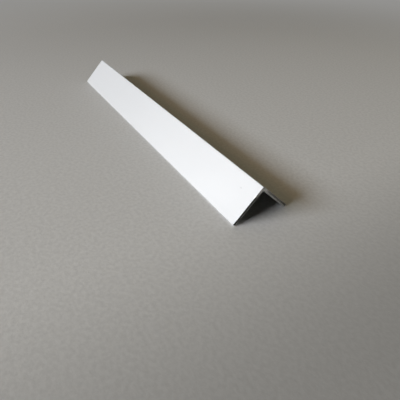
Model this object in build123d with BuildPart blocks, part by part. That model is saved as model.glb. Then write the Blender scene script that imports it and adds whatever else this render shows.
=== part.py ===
"""Equal-leg angle profile: a sawn length of extruded aluminium corner trim, coated white.

The profile lies as it is set down on a table, like a small roof. The heel, where the legs meet, is on
top, and both legs slope down at 45 degrees to the toes that it stands on. X runs along the length and
Z points up. The origin is on the table, under the middle of the heel.
"""

import os
from math import sqrt

from build123d import *

# Driving dimensions, in millimetres, over the coat.
LEG_WIDTH = 20.0  # each leg, outside, from the sharp heel to the toe
WALL = 1.5  # thickness of both legs
LENGTH = 200.0  # between the two sawn ends
HEEL_RADIUS = 0.4  # outside corner, where the legs meet
ROOT_RADIUS = 0.5  # inside corner, where the legs meet
TOE_RADIUS = 0.3  # both long edges of each leg's free end

# At 45 degrees each leg stands on the rounded inner edge of its toe. A square edge would lie this far
# under the sharp heel, and the rounding takes a little off that height.
square_toe_depth = (LEG_WIDTH + WALL) / sqrt(2)
lost_to_rounding = TOE_RADIUS * (sqrt(2) - 1)
heel_height = square_toe_depth - lost_to_rounding

# The section is drawn square: its origin is the sharp heel, x runs down one leg and y down the other.
# Its plane turns it by 45 degrees and sets it on the table, at the end where the length begins.
section_plane = Plane(origin=(-LENGTH / 2, 0, heel_height), x_dir=(0, -1, -1), z_dir=(1, 0, 0))

with BuildPart() as angle_profile:
    with BuildSketch(section_plane) as section:
        with BuildLine():
            Polyline(
                (0, 0),
                (LEG_WIDTH, 0),
                (LEG_WIDTH, WALL),
                (WALL, WALL),
                (WALL, LEG_WIDTH),
                (0, LEG_WIDTH),
                close=True,
            )
        make_face()
        # Counted outwards from the heel, the corners are the heel, the root and then the four toe edges.
        toe_edges = section.vertices().sort_by_distance((0, 0, 0))[2:]
        fillet(toe_edges, radius=TOE_RADIUS)
        root = section.vertices().sort_by_distance((0, 0, 0))[1]
        fillet(root, radius=ROOT_RADIUS)
        heel = section.vertices().sort_by_distance((0, 0, 0))[0]
        fillet(heel, radius=HEEL_RADIUS)
    extrude(amount=LENGTH)

angle_profile.part.label = "angle_profile"

os.makedirs("parts", exist_ok=True)
export_step(angle_profile.part, "parts/angle_profile.step")
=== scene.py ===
"""Looks of a white coated aluminium angle profile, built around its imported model.

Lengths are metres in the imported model's own frame. X runs along the profile, Z points up, and the
origin is on the table under the middle of the heel. Both legs slope down at 45 degrees from the heel to
their toes.
"""

from __future__ import annotations

import logging
import math
import random
from dataclasses import dataclass
from enum import Enum
from typing import Any

import bmesh
import bpy
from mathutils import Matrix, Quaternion, Vector

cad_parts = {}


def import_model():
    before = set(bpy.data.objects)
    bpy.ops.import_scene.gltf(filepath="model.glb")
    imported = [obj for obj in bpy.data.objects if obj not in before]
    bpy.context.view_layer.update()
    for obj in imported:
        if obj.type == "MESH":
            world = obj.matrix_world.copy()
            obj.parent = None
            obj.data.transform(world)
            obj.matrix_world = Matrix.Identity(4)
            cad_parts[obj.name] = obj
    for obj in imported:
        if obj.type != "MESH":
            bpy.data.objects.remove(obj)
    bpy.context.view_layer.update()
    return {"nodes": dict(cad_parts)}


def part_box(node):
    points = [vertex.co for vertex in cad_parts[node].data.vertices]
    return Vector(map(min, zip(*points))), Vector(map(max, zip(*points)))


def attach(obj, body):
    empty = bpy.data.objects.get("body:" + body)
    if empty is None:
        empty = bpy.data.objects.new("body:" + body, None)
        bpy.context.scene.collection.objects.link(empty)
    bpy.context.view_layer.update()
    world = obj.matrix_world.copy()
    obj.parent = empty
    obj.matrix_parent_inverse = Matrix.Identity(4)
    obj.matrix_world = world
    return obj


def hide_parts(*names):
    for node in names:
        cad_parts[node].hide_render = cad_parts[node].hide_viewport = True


LOG = logging.getLogger("angle_profile")
CAD_NODE = "angle_profile"
CAD_BODY = "root"
ROOT_TWO = math.sqrt(2.0)
ALONG = Vector((1.0, 0.0, 0.0))
MIDDLE = Vector((0.0, 0.0, 0.0))
CAMERA_AXIS = Vector((0.0, 0.0, 1.0))  # a camera looks along its own Z

# Facts about Blender's own nodes.
NOISE_MIDDLE = 0.5  # the level around which the noise texture varies
WAVE_RADIANS = 20.0  # how far the wave texture turns over one unit of its scale
MIX_SHARE = 0  # the mix node's inputs for colours
MIX_FIRST = 6
MIX_SECOND = 7
MIX_RESULT = 2  # its output for colours
SHADER_FIRST = 1  # the shader mix's inputs
SHADER_SECOND = 2
FULL_STRENGTH = 1.0
BARE_METAL = 1.0
OPAQUE = 1.0

Colour = tuple[float, float, float]
Span = tuple[float, float]
Socket = bpy.types.NodeSocket
Axes = dict[str, Socket]

UNIT: Span = (0.0, 1.0)


class Surface(Enum):
    """The profile's surfaces, each with the material slot that it fills."""

    COAT = 0
    SAWN = 1
    BURR = 2


class SawnEnd(Enum):
    """The profile's two sawn ends, each with the way along X that it faces."""

    NEAR = 1.0
    FAR = -1.0


class NodeSheet:
    """Short ways to add nodes to one node tree and to join them."""

    def __init__(self, tree: bpy.types.NodeTree) -> None:
        """Takes over a node tree and empties it."""
        self.tree = tree
        self.tree.nodes.clear()

    def feed(self, socket: Socket, value: Any) -> None:
        """Joins a socket to an input, or sets a value there.

        Args:
            socket: The input.
            value: A socket to join, or the value to set.
        """
        if isinstance(value, Socket):
            self.tree.links.new(value, socket)
        else:
            socket.default_value = value

    def add(
        self, kind: str, inputs: dict[str | int, Any] | None = None, **settings: Any
    ) -> bpy.types.Node:
        """Adds one node.

        Args:
            kind: Blender's name for the node type.
            inputs: What goes into each input, by name or number: a value, or a socket to join.
            settings: The node's own settings, by name.

        Returns:
            The new node.
        """
        node = self.tree.nodes.new(kind)
        for name, value in settings.items():
            setattr(node, name, value)
        for key, value in (inputs or {}).items():
            self.feed(node.inputs[key], value)
        return node

    def split(self, vector: Socket) -> Axes:
        """Gives the X, Y and Z of a vector's socket by name."""
        outputs = self.add("ShaderNodeSeparateXYZ", {"Vector": vector}).outputs
        return {axis: outputs[axis] for axis in "XYZ"}

    def object_place(self) -> Socket:
        """Adds the object's own coordinates."""
        return self.add("ShaderNodeTexCoord").outputs["Object"]

    def math(self, operation: str, *values: Any) -> Socket:
        """Adds a sum of sockets and numbers.

        Args:
            operation: Blender's name for the sum.
            values: The sockets and numbers that go in, in order.

        Returns:
            The result's socket.
        """
        node = self.add("ShaderNodeMath", dict(enumerate(values)), operation=operation)
        return node.outputs["Value"]

    def vector(self, operation: str, *values: Any) -> bpy.types.Node:
        """Adds a sum of vectors.

        Args:
            operation: Blender's name for the sum.
            values: The sockets and vectors that go in, in order.

        Returns:
            The node, with its result in "Vector", or in "Value" for a length.
        """
        return self.add("ShaderNodeVectorMath", dict(enumerate(values)), operation=operation)

    def ramp(self, value: Socket, span: Span, results: Span = UNIT) -> Socket:
        """Turns one range of numbers into another, smoothly and held at both ends.

        Args:
            value: The socket to read.
            span: The values at which the ramp starts and ends.
            results: What it gives there.

        Returns:
            The result's socket.
        """
        inputs = {
            "Value": value,
            "From Min": span[0],
            "From Max": span[1],
            "To Min": results[0],
            "To Max": results[1],
        }
        node = self.add("ShaderNodeMapRange", inputs, interpolation_type="SMOOTHSTEP")
        return node.outputs["Result"]

    def blend(self, share: Socket, first: Socket | Colour, second: Socket | Colour) -> Socket:
        """Mixes two colours.

        Args:
            share: How much of the second colour shows, from 0 to 1.
            first: The first colour, or a socket.
            second: The second colour, or a socket.

        Returns:
            The mixed colour's socket.
        """
        node = self.add("ShaderNodeMix", {MIX_SHARE: share}, data_type="RGBA")
        for key, colour in ((MIX_FIRST, first), (MIX_SECOND, second)):
            self.feed(node.inputs[key], (*colour, OPAQUE) if isinstance(colour, tuple) else colour)
        return node.outputs[MIX_RESULT]

    def noise(self, place: Socket, size: float, detail: float = 2.0) -> Socket:
        """Adds soft blotches.

        Args:
            place: The coordinates to read.
            size: How far apart the blotches are, in metres.
            detail: How many finer layers are added.

        Returns:
            The blotches' socket, around NOISE_MIDDLE.
        """
        inputs = {"Vector": place, "Scale": 1.0 / size, "Detail": detail}
        return self.add("ShaderNodeTexNoise", inputs).outputs["Fac"]

    def shifted(self, value: Socket, place: Socket, size: float, reach: float, detail: float) -> Socket:
        """Makes a number uneven by soft blotches.

        Args:
            value: The number's socket.
            place: The coordinates to read.
            size: How far apart the blotches are.
            reach: How much the number changes from the lowest blotch to the highest.
            detail: How many finer layers the blotches have.

        Returns:
            The uneven number's socket.
        """
        blotches = self.math("SUBTRACT", self.noise(place, size, detail), NOISE_MIDDLE)
        return self.math("MULTIPLY_ADD", blotches, reach, value)

    def bump(self, height: Socket, depth: float) -> Socket:
        """Adds fine relief.

        Args:
            height: The socket of the relief's height, from 0 to 1.
            depth: How deep a height of 1 is, in metres.

        Returns:
            The bent normal's socket.
        """
        inputs = {"Height": height, "Distance": depth, "Strength": FULL_STRENGTH}
        return self.add("ShaderNodeBump", inputs).outputs["Normal"]

    def principled(self, inputs: dict[str, Any]) -> Socket:
        """Adds the main shader with some of its inputs."""
        return self.add("ShaderNodeBsdfPrincipled", inputs).outputs["BSDF"]

    def surface(self, shader: Socket) -> None:
        """Joins a shader to the material's output."""
        self.add("ShaderNodeOutputMaterial", {"Surface": shader})


def new_material(name: str) -> tuple[bpy.types.Material, NodeSheet]:
    """Makes an empty material.

    Args:
        name: The material's name.

    Returns:
        The material and the sheet for its nodes.
    """
    material = bpy.data.materials.new(name)
    material.use_nodes = True
    return material, NodeSheet(material.node_tree)


def new_object(name: str, shape: bmesh.types.BMesh) -> bpy.types.Object:
    """Puts a finished shape into the scene.

    Args:
        name: The object's name.
        shape: The shape, which is freed.

    Returns:
        The new object, at the origin.
    """
    mesh = bpy.data.meshes.new(name)
    shape.to_mesh(mesh)
    shape.free()
    piece = bpy.data.objects.new(name, mesh)
    bpy.context.scene.collection.objects.link(piece)
    return piece


def shaded(colour: Colour, share: float) -> Colour:
    """Gives a colour with only a share of its light."""
    red, green, blue = colour
    return (share * red, share * green, share * blue)


def wall_depth(sheet: NodeSheet, axes: Axes, heel_height: float) -> Socket:
    """Finds how far under the outer face of its own leg each point lies.

    Args:
        sheet: The nodes to add to.
        axes: The sockets of the X, Y and Z coordinates.
        heel_height: The sharp heel's height.

    Returns:
        The depth's socket, in metres.
    """
    under_heel = sheet.math("SUBTRACT", heel_height, axes["Z"])
    under_leg = sheet.math("SUBTRACT", under_heel, sheet.math("ABSOLUTE", axes["Y"]))
    return sheet.math("DIVIDE", under_leg, ROOT_TWO)


@dataclass(frozen=True)
class WhiteCoat:
    """Satin white powder coat: orange peel, a little dust, a rubbed heel, saw-cut chips, painted shade
    inside.
    """

    colour: Colour = (0.832, 0.845, 0.862)
    cloud_shade: float = 0.99
    cloud_size: float = 0.035
    cloud_detail: float = 3.0
    cloud_span: Span = (0.35, 0.7)
    roughness: Span = (0.37, 0.40)
    peel_size: float = 0.0012
    peel_detail: float = 1.0
    peel_depth: float = 0.000006
    grain_size: float = 0.00025
    grain_share: float = 0.2
    rub_width: float = 0.0006
    chip_metal: Colour = (0.58, 0.58, 0.57)
    chip_width: float = 0.00022
    chip_span: Span = (0.5, 0.8)
    scuff_from_end: float = 0.0091
    scuff_down_leg: float = 0.0062
    scuff_length: float = 0.0007
    scuff_width: float = 0.0004
    scuff_shade: float = 0.86
    scuff_span: Span = (1.7, 0.9)
    dust_spacing: float = 0.009
    dust_radius: float = 0.00011
    # Painted shade inside the angle: how much of the coat's colour is left, and the heights over which it
    # darkens.
    inside_painted_shade: float = 0.28
    inside_shade_span: Span = (0.0, 0.004)

    def material(self, half_length: float, heel_height: float, wall: float) -> bpy.types.Material:
        """Makes the coat's material.

        Args:
            half_length: From the profile's middle to a sawn end.
            heel_height: The sharp heel's height over the table.
            wall: The legs' thickness.

        Returns:
            The material, on Object coordinates.
        """
        material, sheet = new_material("white_coat")
        place = sheet.object_place()
        axes = sheet.split(place)
        clouds = sheet.noise(place, self.cloud_size, self.cloud_detail)
        peel = sheet.noise(place, self.peel_size, self.peel_detail)
        grain = sheet.noise(place, self.grain_size, self.peel_detail)
        chips = self._chips(sheet, axes, half_length, peel)
        scuff = self._scuff(sheet, place, half_length, heel_height, grain)

        cloudy = shaded(self.colour, self.cloud_shade)
        scuffed = shaded(self.colour, self.scuff_shade)
        inside_shaded = shaded(self.colour, self.inside_painted_shade)
        colour = sheet.blend(sheet.ramp(clouds, self.cloud_span), self.colour, cloudy)
        # Painted shade: the coat inside the angle is darkened, more so towards the root.
        colour = sheet.blend(self._painted_inside_shade(sheet, axes, heel_height, wall), colour, inside_shaded)
        colour = sheet.blend(self._rubbed(sheet, axes, heel_height, clouds), colour, cloudy)
        colour = sheet.blend(scuff, colour, scuffed)
        colour = sheet.blend(self._dust(sheet, place), colour, scuffed)
        colour = sheet.blend(chips, colour, self.chip_metal)
        relief = sheet.math("MULTIPLY_ADD", grain, self.grain_share, peel)
        shader = sheet.principled(
            {
                "Base Color": colour,
                "Metallic": chips,
                "Roughness": sheet.ramp(clouds, self.cloud_span, self.roughness),
                "Normal": sheet.bump(relief, self.peel_depth),
            }
        )
        sheet.surface(shader)
        return material

    def _painted_inside_shade(self, sheet: NodeSheet, axes: Axes, heel_height: float, wall: float) -> Socket:
        """Finds where shade is painted into the coat: inside, and more so towards the root. A thinner coat
        there is only a guess.

        Args:
            sheet: The coat's nodes.
            axes: The sockets of the X, Y and Z coordinates.
            heel_height: The sharp heel's height.
            wall: The legs' thickness.

        Returns:
            A mask's socket, 1 where the painted shade is fullest.
        """
        inside = sheet.math("GREATER_THAN", wall_depth(sheet, axes, heel_height), wall / 2.0)
        return sheet.math("MULTIPLY", inside, sheet.ramp(axes["Z"], self.inside_shade_span))

    def _rubbed(self, sheet: NodeSheet, axes: Axes, heel_height: float, clouds: Socket) -> Socket:
        """Finds the rubbed strip along the heel.

        Args:
            sheet: The coat's nodes.
            axes: The sockets of the X, Y and Z coordinates.
            heel_height: The sharp heel's height.
            clouds: Blotches that break the strip up.

        Returns:
            A mask's socket, 1 where the coat is rubbed.
        """
        span = (heel_height - 2.0 * self.rub_width, heel_height - self.rub_width / 2.0)
        return sheet.math("MULTIPLY", sheet.ramp(axes["Z"], span), clouds)

    def _scuff(
        self, sheet: NodeSheet, place: Socket, half_length: float, heel_height: float, grain: Socket
    ) -> Socket:
        """Finds the faint grey scuff near one end of the front leg.

        Args:
            sheet: The coat's nodes.
            place: The coordinates to read.
            half_length: From the profile's middle to a sawn end.
            heel_height: The sharp heel's height.
            grain: Fine blotches that fray the scuff.

        Returns:
            A mask's socket, 1 in the scuff.
        """
        fall = self.scuff_down_leg / ROOT_TWO
        centre = Vector((half_length - self.scuff_from_end, -fall, heel_height - fall))
        size = Vector((self.scuff_length, self.scuff_width, self.scuff_width))
        away = sheet.vector("SUBTRACT", place, centre).outputs["Vector"]
        scaled = sheet.vector("DIVIDE", away, size).outputs["Vector"]
        frayed = sheet.math("ADD", sheet.vector("LENGTH", scaled).outputs["Value"], grain)
        return sheet.ramp(frayed, self.scuff_span)

    def _dust(self, sheet: NodeSheet, place: Socket) -> Socket:
        """Finds a few tiny specks caught in the coat.

        Args:
            sheet: The coat's nodes.
            place: The coordinates to read.

        Returns:
            A mask's socket, 1 in a speck.
        """
        cells = sheet.add("ShaderNodeTexVoronoi", {"Vector": place, "Scale": 1.0 / self.dust_spacing})
        radius = self.dust_radius / self.dust_spacing
        return sheet.ramp(cells.outputs["Distance"], (radius, radius / 2.0))

    def _chips(self, sheet: NodeSheet, axes: Axes, half_length: float, peel: Socket) -> Socket:
        """Finds the small chips that the saw left in the coat's edge.

        Args:
            sheet: The coat's nodes.
            axes: The sockets of the X, Y and Z coordinates.
            half_length: From the profile's middle to a sawn end.
            peel: Blotches that set how deep each chip goes.

        Returns:
            A mask's socket, 1 where metal shows.
        """
        from_end = sheet.math("SUBTRACT", half_length, sheet.math("ABSOLUTE", axes["X"]))
        reach = sheet.ramp(peel, self.chip_span, (0.0, self.chip_width))
        return sheet.math("LESS_THAN", from_end, reach)


@dataclass(frozen=True)
class SawnMetal:
    """Bare aluminium as a saw leaves it, with light and shade painted into its colour.

    A painted highlight lies just below the heel, and the legs are duller. Painted shade darkens the heel's
    corner, the outer side and the lower cut, more on the front leg. The back leg's inner side has a
    painted highlight.
    """

    # The first colour is a painted highlight just below the heel; the third is painted shade, which the
    # blade marks also darken to.
    painted_highlight: Colour = (0.72, 0.72, 0.71)
    dull: Colour = (0.30, 0.299, 0.291)
    painted_shade_and_groove: Colour = (0.09, 0.089, 0.085)
    # A painted highlight on the back leg's inner side.
    inner: Colour = (0.66, 0.659, 0.65)
    highlight_span: Span = (0.0095, 0.0135)
    painted_shade_span: Span = (0.0125, 0.0050)
    shade_lean: float = 0.8
    outer_shade_span: Span = (0.0010, 0.0004)
    outer_shade_share: float = 0.75
    inner_highlight_span: Span = (0.0008, 0.0012)
    highlight_leg_span: Span = (-0.001, 0.003)
    heel_shade_span: Span = (0.0018, 0.0006)
    heel_shade_share: float = 0.7
    smear_size: float = 0.0012
    smear_reach: float = 0.006
    smear_detail: float = 3.0
    ragged_size: float = 0.0007
    ragged_reach: float = 0.0010
    ragged_detail: float = 2.0
    roughness: Span = (0.30, 0.56)
    mark_share: float = 0.3
    mark_spacing: float = 0.00034
    mark_depth: float = 0.000006
    mark_distortion: float = 2.5
    mark_detail: float = 2.0
    mark_detail_scale: float = 1.6
    blade_below: float = 0.11
    blade_aside: float = 0.04

    def material(self, heel_height: float) -> bpy.types.Material:
        """Makes the sawn metal's material.

        Args:
            heel_height: The sharp heel's height over the table.

        Returns:
            The material, on Object coordinates.
        """
        material, sheet = new_material("sawn_aluminium")
        place = sheet.object_place()
        axes = sheet.split(place)
        marks = self._blade_marks(sheet, place)
        height = sheet.shifted(axes["Z"], place, self.smear_size, self.smear_reach, self.smear_detail)
        # Painted light: painted shade grows down the cut and leans towards the front leg, and a painted
        # highlight lies just below the heel.
        leaning = sheet.math("MULTIPLY_ADD", axes["Y"], self.shade_lean, height)
        painted_shade_and_groove = sheet.ramp(leaning, self.painted_shade_span)
        painted_highlight = sheet.ramp(height, self.highlight_span)
        colour = sheet.blend(painted_shade_and_groove, sheet.blend(painted_highlight, self.dull, self.painted_highlight), self.painted_shade_and_groove)
        # Painted shade on the outer side and the heel's corner, and a painted highlight on the back leg's
        # inner side.
        colour = self._paint_light_across_wall(sheet, place, heel_height, painted_highlight, colour)
        colour = sheet.blend(sheet.math("MULTIPLY", marks, self.mark_share), colour, self.painted_shade_and_groove)
        shader = sheet.principled(
            {
                "Base Color": colour,
                "Metallic": BARE_METAL,
                "Roughness": sheet.ramp(painted_shade_and_groove, UNIT, self.roughness),
                "Normal": sheet.bump(marks, self.mark_depth),
            }
        )
        sheet.surface(shader)
        return material

    def _paint_light_across_wall(
        self, sheet: NodeSheet, place: Socket, heel_height: float, painted_highlight: Socket, colour: Socket
    ) -> Socket:
        """Paints shade on the outer side and the heel's corner, and a highlight on the back leg's inner
        side.

        Args:
            sheet: The metal's nodes.
            place: The coordinates to read.
            heel_height: The sharp heel's height.
            painted_highlight: A mask's socket, 1 where the highlight below the heel is painted.
            colour: The socket of the colour so far.

        Returns:
            The new colour's socket.
        """
        axes = sheet.split(place)
        below = sheet.math("SUBTRACT", 1.0, painted_highlight)
        depth = wall_depth(sheet, axes, heel_height)
        ragged = sheet.shifted(depth, place, self.ragged_size, self.ragged_reach, self.ragged_detail)
        # Painted shade along the legs' outer side, below the painted highlight.
        outer = sheet.ramp(ragged, self.outer_shade_span, (0.0, self.outer_shade_share))
        colour = sheet.blend(sheet.math("MULTIPLY", outer, below), colour, self.painted_shade_and_groove)
        # A painted highlight along the back leg's inner side.
        back_leg = sheet.ramp(axes["Y"], self.highlight_leg_span)
        inner = sheet.math("MULTIPLY", sheet.ramp(ragged, self.inner_highlight_span), back_leg)
        colour = sheet.blend(sheet.math("MULTIPLY", inner, below), colour, self.inner)
        # Painted shade in the heel's corner.
        under_heel = sheet.math("SUBTRACT", heel_height, axes["Z"])
        corner = sheet.ramp(under_heel, self.heel_shade_span, (0.0, self.heel_shade_share))
        return sheet.blend(corner, colour, self.painted_shade_and_groove)

    def _blade_marks(self, sheet: NodeSheet, place: Socket) -> Socket:
        """Draws the blade's curved marks across the cut.

        Args:
            sheet: The metal's nodes.
            place: The coordinates to read.

        Returns:
            The marks' socket, from 0 to 1.
        """
        centre = Vector((0.0, self.blade_aside, -self.blade_below))
        inputs = {
            "Vector": sheet.vector("SUBTRACT", place, centre).outputs["Vector"],
            "Scale": math.tau / WAVE_RADIANS / self.mark_spacing,
            "Distortion": self.mark_distortion,
            "Detail": self.mark_detail,
            "Detail Scale": self.mark_detail_scale,
        }
        rings = sheet.add("ShaderNodeTexWave", inputs, wave_type="RINGS", rings_direction="X")
        return rings.outputs["Fac"]


@dataclass(frozen=True)
class BurrMetal:
    """The bright thin burr that the blade pushed up along the inner edges."""

    bright: Colour = (0.50, 0.50, 0.49)
    dull: Colour = (0.22, 0.22, 0.215)
    roughness: Span = (0.36, 0.52)
    fleck_size: float = 0.0005
    fleck_span: Span = (0.35, 0.65)
    fleck_depth: float = 0.00002

    def material(self) -> bpy.types.Material:
        """Makes the burr's material.

        Returns:
            The material, on Object coordinates.
        """
        material, sheet = new_material("burr_aluminium")
        flecks = sheet.noise(sheet.object_place(), self.fleck_size)
        dulled = sheet.ramp(flecks, self.fleck_span)
        shader = sheet.principled(
            {
                "Base Color": sheet.blend(dulled, self.bright, self.dull),
                "Metallic": BARE_METAL,
                "Roughness": sheet.ramp(flecks, self.fleck_span, self.roughness),
                "Normal": sheet.bump(flecks, self.fleck_depth),
            }
        )
        sheet.surface(shader)
        return material


@dataclass
class AngleProfile:
    """The whole object: one equal-leg angle with rounded corners, a thin coat and two sawn ends."""

    half_length: float
    leg_width: float = 0.020
    wall: float = 0.0015
    heel_radius: float = 0.0004
    root_radius: float = 0.0005
    toe_radius: float = 0.0003
    arc_segments: int = 8
    coat_thickness: float = 0.00008
    edge_break: float = 0.00003
    edge_segments: int = 2
    burr_width: float = 0.00018
    burr_height: float = 0.00008
    burr_gaps: float = 0.00004
    strips: int = 32
    band_depth: float = 0.0008
    touching: float = 1e-7
    end_facing: float = 0.99
    sharp_degrees: float = 18.0
    seed: int = 7
    coat: WhiteCoat = WhiteCoat()
    sawn: SawnMetal = SawnMetal()
    burr: BurrMetal = BurrMetal()

    @property
    def heel_height(self) -> float:
        """The sharp heel's height, with each rounded toe just touching the table."""
        return (self.leg_width + self.wall) / ROOT_TWO - self.toe_radius * (ROOT_TWO - 1.0)

    def section_point(self, down_front: float, down_back: float) -> Vector:
        """Gives a point of the section at the far end.

        Args:
            down_front: How far the point lies from the sharp heel along the front leg.
            down_back: How far it lies from the sharp heel along the back leg.

        Returns:
            The point.
        """
        aside = (down_back - down_front) / ROOT_TWO
        up = self.heel_height - (down_front + down_back) / ROOT_TWO
        return Vector((-self.half_length, aside, up))

    def depth_in_wall(self, point: Vector) -> float:
        """Tells how far a point lies under the outer face of its own leg."""
        return (self.heel_height - point.z - abs(point.y)) / ROOT_TWO

    def build(self) -> bpy.types.Object:
        """Models the profile and dresses it.

        Returns:
            The finished object.
        """
        shape = bmesh.new()
        self._extrude_section(shape)
        self._round_corners(shape)
        self._cut_strips(shape)
        for end in SawnEnd:
            self._band_end(shape, end)
        wobble = random.Random(self.seed)
        for end in SawnEnd:
            self._cut_end(shape, end, wobble)
        bmesh.ops.remove_doubles(shape, verts=shape.verts, dist=self.touching)
        bmesh.ops.recalc_face_normals(shape, faces=shape.faces)
        for face in shape.faces:
            face.smooth = True
        piece = new_object("coated_angle", shape)
        self.dress(piece)
        return piece

    def dress(self, piece: bpy.types.Object) -> None:
        """Gives the profile its finishes, in the order of Surface, and keeps its flat faces flat.

        Args:
            piece: The profile's object.
        """
        finishes = {
            Surface.COAT: self.coat.material(self.half_length, self.heel_height, self.wall),
            Surface.SAWN: self.sawn.material(self.heel_height),
            Surface.BURR: self.burr.material(),
        }
        for surface in Surface:
            piece.data.materials.append(finishes[surface])
        piece.data.set_sharp_from_angle(angle=math.radians(self.sharp_degrees))
        even = piece.modifiers.new("flat_faces", "WEIGHTED_NORMAL")
        even.keep_sharp = True

    def _extrude_section(self, shape: bmesh.types.BMesh) -> None:
        """Draws the square-cornered section and pulls it out to the full length.

        Args:
            shape: The empty mesh to fill.
        """
        corners = (
            (0.0, 0.0),
            (self.leg_width, 0.0),
            (self.leg_width, self.wall),
            (self.wall, self.wall),
            (self.wall, self.leg_width),
            (0.0, self.leg_width),
        )
        section = shape.faces.new([shape.verts.new(self.section_point(*corner)) for corner in corners])
        pulled = bmesh.ops.extrude_face_region(shape, geom=[section], use_keep_orig=True)
        moved = [item for item in pulled["geom"] if isinstance(item, bmesh.types.BMVert)]
        bmesh.ops.translate(shape, verts=moved, vec=2.0 * self.half_length * ALONG)
        bmesh.ops.recalc_face_normals(shape, faces=shape.faces)

    def _round_corners(self, shape: bmesh.types.BMesh) -> None:
        """Rounds the six long edges, each corner with its own radius.

        Args:
            shape: The profile's mesh.
        """
        width, wall = self.leg_width, self.wall
        toes = ((width, 0.0), (width, wall), (wall, width), (0.0, width))
        rounds = [((0.0, 0.0), self.heel_radius), ((wall, wall), self.root_radius)]
        rounds += [(toe, self.toe_radius) for toe in toes]
        for corner, radius in rounds:
            line = self.section_point(*corner)
            edges = [edge for edge in shape.edges if self._lies_on(edge, line)]
            self._round(shape, edges, radius, self.arc_segments)

    def _round(
        self, shape: bmesh.types.BMesh, edges: list[bmesh.types.BMEdge], radius: float, segments: int
    ) -> None:
        """Rounds some edges.

        Args:
            shape: The profile's mesh.
            edges: The edges to round.
            radius: How far from each edge the rounding starts.
            segments: How many faces the rounding has.
        """
        bmesh.ops.bevel(
            shape,
            geom=edges,
            offset=radius,
            offset_type="OFFSET",
            segments=segments,
            profile=0.5,
            affect="EDGES",
            material=-1,
        )

    def _lies_on(self, edge: bmesh.types.BMEdge, line: Vector) -> bool:
        """Tells whether both ends of an edge have the Y and Z of a corner of the section."""
        return all((vert.co.yz - line.yz).length < self.touching for vert in edge.verts)

    def _cut_strips(self, shape: bmesh.types.BMesh) -> None:
        """Cuts the legs' four broad faces into long strips, which give the burr its steps.

        Args:
            shape: The profile's mesh.
        """
        faces = shape.faces
        broad = [face for face in faces if min(edge.calc_length() for edge in face.edges) > self.wall]
        for face in broad:
            across = [edge for edge in face.edges if edge.calc_length() < self.half_length]
            bmesh.ops.subdivide_edges(shape, edges=across, cuts=self.strips - 1)

    def _band_end(self, shape: bmesh.types.BMesh, end: SawnEnd) -> None:
        """Cuts a narrow band off all long faces beside one end.

        Args:
            shape: The profile's mesh.
            end: The end to work on.
        """
        place = end.value * (self.half_length - self.band_depth) * ALONG
        everything = [*shape.verts, *shape.edges, *shape.faces]
        bmesh.ops.bisect_plane(
            shape, geom=everything, dist=self.touching, plane_co=place, plane_no=ALONG
        )

    def _end_face(self, shape: bmesh.types.BMesh, end: SawnEnd) -> bmesh.types.BMFace:
        """Finds the largest face at one end.

        Args:
            shape: The profile's mesh.
            end: The end to look at.

        Returns:
            The face.
        """
        shape.normal_update()
        facing = [face for face in shape.faces if face.normal.x * end.value > self.end_facing]
        return max(facing, key=lambda face: face.calc_area())

    def _cut_end(self, shape: bmesh.types.BMesh, end: SawnEnd, wobble: random.Random) -> None:
        """Gives one end its broken edge, the coat's thin rim, and the sawn metal with its uneven burr.

        Args:
            shape: The profile's mesh.
            end: The end to work on.
            wobble: Where the burr's unevenness comes from.
        """
        self._round(shape, self._end_face(shape, end).edges[:], self.edge_break, self.edge_segments)
        metal = self._end_face(shape, end)
        rim_width = self.coat_thickness - self.edge_break
        bmesh.ops.inset_region(shape, faces=[metal], thickness=rim_width, use_even_offset=True)
        metal.material_index = Surface.SAWN.value
        crest = metal.verts[:]
        inset = bmesh.ops.inset_region(
            shape, faces=[metal], thickness=self.burr_width, use_even_offset=True
        )
        for face in inset["faces"]:
            face.material_index = self._burr_surface(face.calc_center_median()).value
        inwards = -end.value * ALONG
        bmesh.ops.translate(shape, verts=metal.verts, vec=inwards * self.burr_height)
        for vert in crest:
            if self._burr_surface(vert.co) is Surface.BURR:
                vert.co += inwards * wobble.uniform(0.0, self.burr_gaps)
        self._face_across(shape, metal)

    def _face_across(self, shape: bmesh.types.BMesh, metal: bmesh.types.BMFace) -> None:
        """Puts narrow faces across the wall, from outer to inner side, in place of one wide face.

        Args:
            shape: The profile's mesh.
            metal: The sawn face to replace.
        """
        sides = [edge for edge in metal.edges if not self._lies_at_toe(edge)]
        bmesh.ops.delete(shape, geom=[metal], context="FACES_ONLY")
        for face in bmesh.ops.bridge_loops(shape, edges=sides)["faces"]:
            face.material_index = Surface.SAWN.value

    def _lies_at_toe(self, edge: bmesh.types.BMEdge) -> bool:
        """Tells whether an edge of a sawn face lies in the middle half of the wall, as at a toe."""
        middle = (edge.verts[0].co + edge.verts[1].co) / 2.0
        return abs(self.depth_in_wall(middle) - self.wall / 2.0) < self.wall / 4.0

    def _burr_surface(self, point: Vector) -> Surface:
        """Tells whether the burr stands at a point of a sawn end: it is on the wall's inner half."""
        return Surface.BURR if self.depth_in_wall(point) > self.wall / 2.0 else Surface.SAWN


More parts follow.
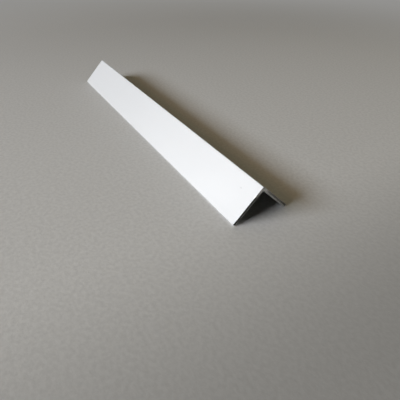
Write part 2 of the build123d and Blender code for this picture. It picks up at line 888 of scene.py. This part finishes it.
@dataclass(frozen=True)
class Backdrop:
    """The pale surroundings that the camera and the metal see, a little dimmer past the near end."""

    pale: Colour = (0.29, 0.286, 0.277)
    dim: Colour = (0.16, 0.157, 0.15)
    dim_span: Span = (-0.2, 0.9)

    def colour(self, sheet: NodeSheet, direction: Socket) -> Socket:
        """Adds the backdrop's colour.

        Args:
            sheet: The nodes to add to.
            direction: The socket of the direction to look in, one long.

        Returns:
            The colour's socket.
        """
        along = sheet.split(direction)["X"]
        return sheet.blend(sheet.ramp(along, self.dim_span), self.pale, self.dim)

    def seen(self, sheet: NodeSheet) -> Socket:
        """Tells what the camera, gloss or glass sees from light that falls on a surface.

        Args:
            sheet: The nodes to add to.

        Returns:
            A mask's socket, 1 for what is seen.
        """
        rays = sheet.add("ShaderNodeLightPath").outputs
        seen = sheet.math("MAXIMUM", rays["Is Camera Ray"], rays["Is Glossy Ray"])
        return sheet.math("MAXIMUM", seen, rays["Is Transmission Ray"])


@dataclass
class PaleTable:
    """The pale table, with a painted shadow past the profile's near end and shade painted slowly darker
    beyond its far end.
    """

    pale: Colour = (0.868, 0.866, 0.852)
    # A painted shadow past the near end.
    near_painted_shadow: Colour = (0.505, 0.504, 0.495)
    near_span: Span = (0.085, 0.175)
    # Painted shade, slowly darker beyond the far end.
    far_painted_shade: Colour = (0.668, 0.665, 0.655)
    far_shade_span: Span = (0.10, -0.30)
    roughness: float = 0.6
    gloss: float = 0.0
    radius: float = 6.0
    edges: int = 96
    grain_size: float = 0.0013
    grain_depth: float = 0.00006
    speck: Colour = (0.30, 0.297, 0.29)
    speck_size: float = 0.0016
    speck_span: Span = (0.3, 0.7)
    speck_share: float = 0.14
    fade_span: Span = (0.24, 0.60)

    def build(self, backdrop: Backdrop) -> bpy.types.Object:
        """Models the table top and gives it its finish.

        Args:
            backdrop: What the table fades into.

        Returns:
            The table's object.
        """
        shape = bmesh.new()
        bmesh.ops.create_circle(shape, cap_ends=True, radius=self.radius, segments=self.edges)
        table = new_object("pale_table", shape)
        table.data.materials.append(self._material(backdrop))
        return table

    def _material(self, backdrop: Backdrop) -> bpy.types.Material:
        """Makes the table's material.

        Args:
            backdrop: What it fades into.

        Returns:
            The material, on Object coordinates.
        """
        material, sheet = new_material("pale_table")
        place = sheet.object_place()
        top = sheet.principled(
            {
                "Base Color": self._colour(sheet, place),
                "Roughness": self.roughness,
                "Specular IOR Level": self.gloss,
                "Normal": sheet.bump(sheet.noise(place, self.grain_size), self.grain_depth),
            }
        )
        away = sheet.vector("LENGTH", place).outputs["Value"]
        outwards = sheet.vector("NORMALIZE", place).outputs["Vector"]
        lost = sheet.math("MULTIPLY", sheet.ramp(away, self.fade_span), backdrop.seen(sheet))
        glow_inputs = {"Color": backdrop.colour(sheet, outwards), "Strength": FULL_STRENGTH}
        glow = sheet.add("ShaderNodeEmission", glow_inputs).outputs["Emission"]
        mixed = sheet.add("ShaderNodeMixShader", {"Fac": lost, SHADER_FIRST: top, SHADER_SECOND: glow})
        sheet.surface(mixed.outputs["Shader"])
        return material

    def _colour(self, sheet: NodeSheet, place: Socket) -> Socket:
        """Adds the table's colour, with its painted shade and its specks.

        Args:
            sheet: The table's nodes.
            place: The coordinates to read.

        Returns:
            The colour's socket.
        """
        along = sheet.split(place)["X"]
        # Painted shade beyond the far end, then a painted shadow past the near end.
        colour = sheet.blend(sheet.ramp(along, self.far_shade_span), self.pale, self.far_painted_shade)
        colour = sheet.blend(sheet.ramp(along, self.near_span), colour, self.near_painted_shadow)
        specks = sheet.noise(place, self.speck_size)
        specked = sheet.ramp(specks, self.speck_span, (0.0, self.speck_share))
        return sheet.blend(specked, colour, self.speck)


@dataclass(frozen=True)
class SoftLamp:
    """One flat soft lamp that faces the profile."""

    name: str
    bearing_degrees: float
    elevation_degrees: float
    distance: float
    width: float
    height: float
    power: float
    colour: Colour = (1.0, 1.0, 1.0)
    sheen_only: bool = False

    def build(self, target: Vector) -> None:
        """Hangs the lamp.

        Args:
            target: The point that it faces.
        """
        level = math.radians(self.elevation_degrees)
        bearing = math.radians(self.bearing_degrees)
        flat = math.cos(level)
        towards = Vector((math.sin(bearing) * flat, -math.cos(bearing) * flat, math.sin(level)))
        data = bpy.data.lights.new(self.name, "AREA")
        data.shape = "RECTANGLE"
        data.size = self.width
        data.size_y = self.height
        data.energy = self.power
        data.color = self.colour
        lamp = bpy.data.objects.new(self.name, data)
        lamp.location = target + towards * self.distance
        lamp.rotation_euler = (-towards).to_track_quat("-Z", "Y").to_euler()
        lamp.visible_camera = False
        lamp.visible_diffuse = not self.sheen_only
        bpy.context.scene.collection.objects.link(lamp)


@dataclass
class StudioLight:
    """Soft daylight from a low window with a dim warm pane over it, a pale wall behind and a weak fill."""

    near_end: Vector
    backdrop: Backdrop = Backdrop()
    window: SoftLamp = SoftLamp(
        name="window",
        bearing_degrees=-4.3,
        elevation_degrees=24.75,
        distance=2.0,
        width=1.27,
        height=0.473,
        power=32.0,
        colour=(0.86, 0.925, 1.0),
    )
    upper_pane: SoftLamp = SoftLamp(
        name="upper_pane",
        bearing_degrees=-4.3,
        elevation_degrees=36.2,
        distance=2.0,
        width=1.27,
        height=0.332,
        power=3.8,
        colour=(1.0, 0.66, 0.45),
    )
    back_wall: SoftLamp = SoftLamp(
        name="back_wall",
        bearing_degrees=180.0,
        elevation_degrees=4.0,
        distance=2.0,
        width=2.6,
        height=0.2,
        power=7.6,
        colour=(1.0, 0.99, 0.97),
    )
    card: SoftLamp = SoftLamp(
        name="pale_card",
        bearing_degrees=-45.0,
        elevation_degrees=31.0,
        distance=0.8,
        width=0.46,
        height=0.5,
        power=4.8,
        sheen_only=True,
    )
    fill: Colour = (0.184, 0.154, 0.086)
    near_share: float = 0.02
    near_span: Span = (-0.5, 0.4)

    def build(self) -> None:
        """Hangs the lamps and sets up the world."""
        for lamp in (self.window, self.upper_pane, self.back_wall):
            lamp.build(MIDDLE)
        self.card.build(self.near_end)
        self._world()

    def _world(self) -> None:
        """Lights the rest of the room weakly, and shows the camera a pale backdrop."""
        world = bpy.data.worlds.new("room")
        world.use_nodes = True
        bpy.context.scene.world = world
        sheet = NodeSheet(world.node_tree)
        direction = sheet.add("ShaderNodeTexCoord").outputs["Generated"]
        along = sheet.split(direction)["X"]
        weak = shaded(self.fill, self.near_share)
        fill = sheet.blend(sheet.ramp(along, self.near_span), self.fill, weak)
        colour = sheet.blend(self.backdrop.seen(sheet), fill, self.backdrop.colour(sheet, direction))
        room = sheet.add("ShaderNodeBackground", {"Color": colour, "Strength": FULL_STRENGTH})
        sheet.add("ShaderNodeOutputWorld", {"Surface": room.outputs["Background"]})


@dataclass
class PhotoCamera:
    """The camera at the photograph's viewing angle."""

    place: tuple[float, float, float] = (0.19493, -0.08576, 0.09996)
    target: tuple[float, float, float] = (0.07726, -0.01629, 0.0)
    roll_degrees: float = 0.403
    lens: float = 33.97
    sensor: float = 36.0
    nearest: float = 0.005

    def build(self) -> None:
        """Makes the camera and gives it to the scene."""
        data = bpy.data.cameras.new("photo_camera")
        data.sensor_fit = "HORIZONTAL"
        data.sensor_width = self.sensor
        data.lens = self.lens
        data.clip_start = self.nearest
        camera = bpy.data.objects.new("photo_camera", data)
        camera.location = self.place
        aim = (Vector(self.target) - Vector(self.place)).to_track_quat("-Z", "Y")
        roll = Quaternion(CAMERA_AXIS, math.radians(self.roll_degrees))
        camera.rotation_mode = "QUATERNION"
        camera.rotation_quaternion = aim @ roll
        bpy.context.scene.collection.objects.link(camera)
        bpy.context.scene.camera = camera


def main() -> None:
    """Builds the profile, its stage, its light and its camera, in that order."""
    logging.basicConfig(level=logging.INFO, format="%(name)s: %(message)s")
    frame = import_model()
    LOG.info("the frame holds %s", ", ".join(frame["nodes"]))
    _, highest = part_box(CAD_NODE)

    profile = AngleProfile(half_length=highest.x)
    piece = profile.build()
    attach(piece, CAD_BODY)
    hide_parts(CAD_NODE)
    LOG.info("%s has %d faces", piece.name, len(piece.data.polygons))

    light = StudioLight(near_end=profile.half_length * ALONG)
    table = PaleTable().build(light.backdrop)
    LOG.info("%s is stage", table.name)
    light.build()
    PhotoCamera().build()
    bpy.context.scene.view_settings.view_transform = "Standard"


if __name__ == "__main__":
    main()
